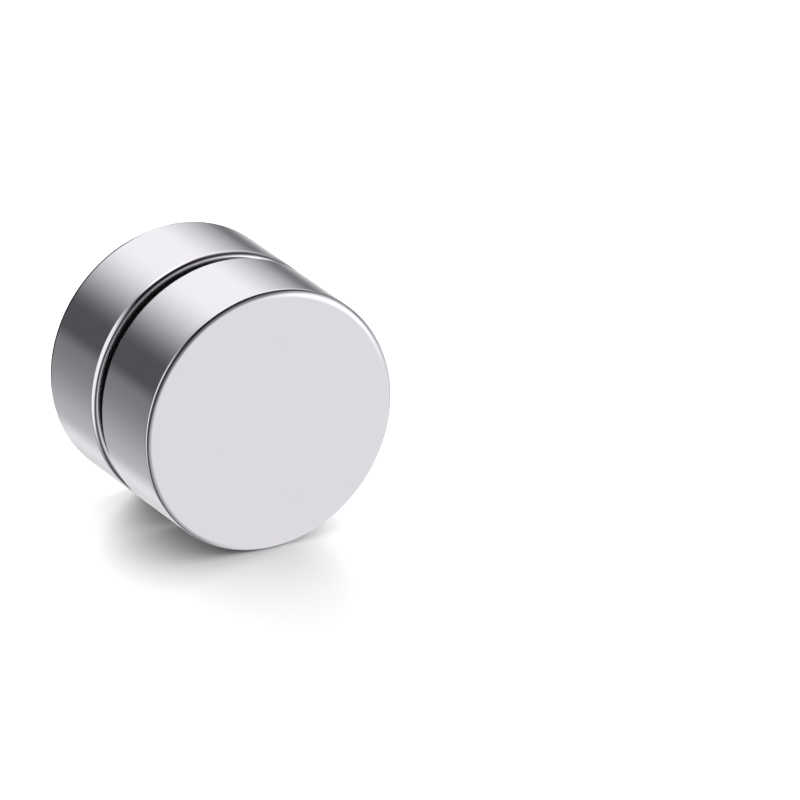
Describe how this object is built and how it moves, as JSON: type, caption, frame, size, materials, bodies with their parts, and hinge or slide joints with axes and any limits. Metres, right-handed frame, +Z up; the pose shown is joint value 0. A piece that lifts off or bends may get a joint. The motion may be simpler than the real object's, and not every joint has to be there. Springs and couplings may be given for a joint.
{
  "type": "magnetic stud earring",
  "caption": "Polished steel magnetic stud earring: front and back discs drawn together through an unpierced earlobe, lying on its curved side.",
  "frame": {"origin": "on the surface that the earring lies on, under the middle of the groove between the two halves", "axes": "+Z up, +Y along the earring's axis from the front half to the back half, +X to the right as seen from in front of the front face"},
  "size_m": [0.01, 0.0078, 0.01],
  "materials": {
    "polished_steel": "polished",
    "nickel_plate": "satin"
  },
  "bodies": {
    "front_half": {"front_cap": "polished_steel", "front_magnet": "nickel_plate"},
    "back_half": {"back_cap": "polished_steel", "back_magnet": "nickel_plate"}
  },
  "joints": [
    {"name": "back_pull", "type": "slide", "parent": "front_half", "child": "back_half", "axis": [0, 1, 0], "range_m": [0, 0.008], "stiffness_N_per_m": 20, "springref_m": -0.05}
  ]
}
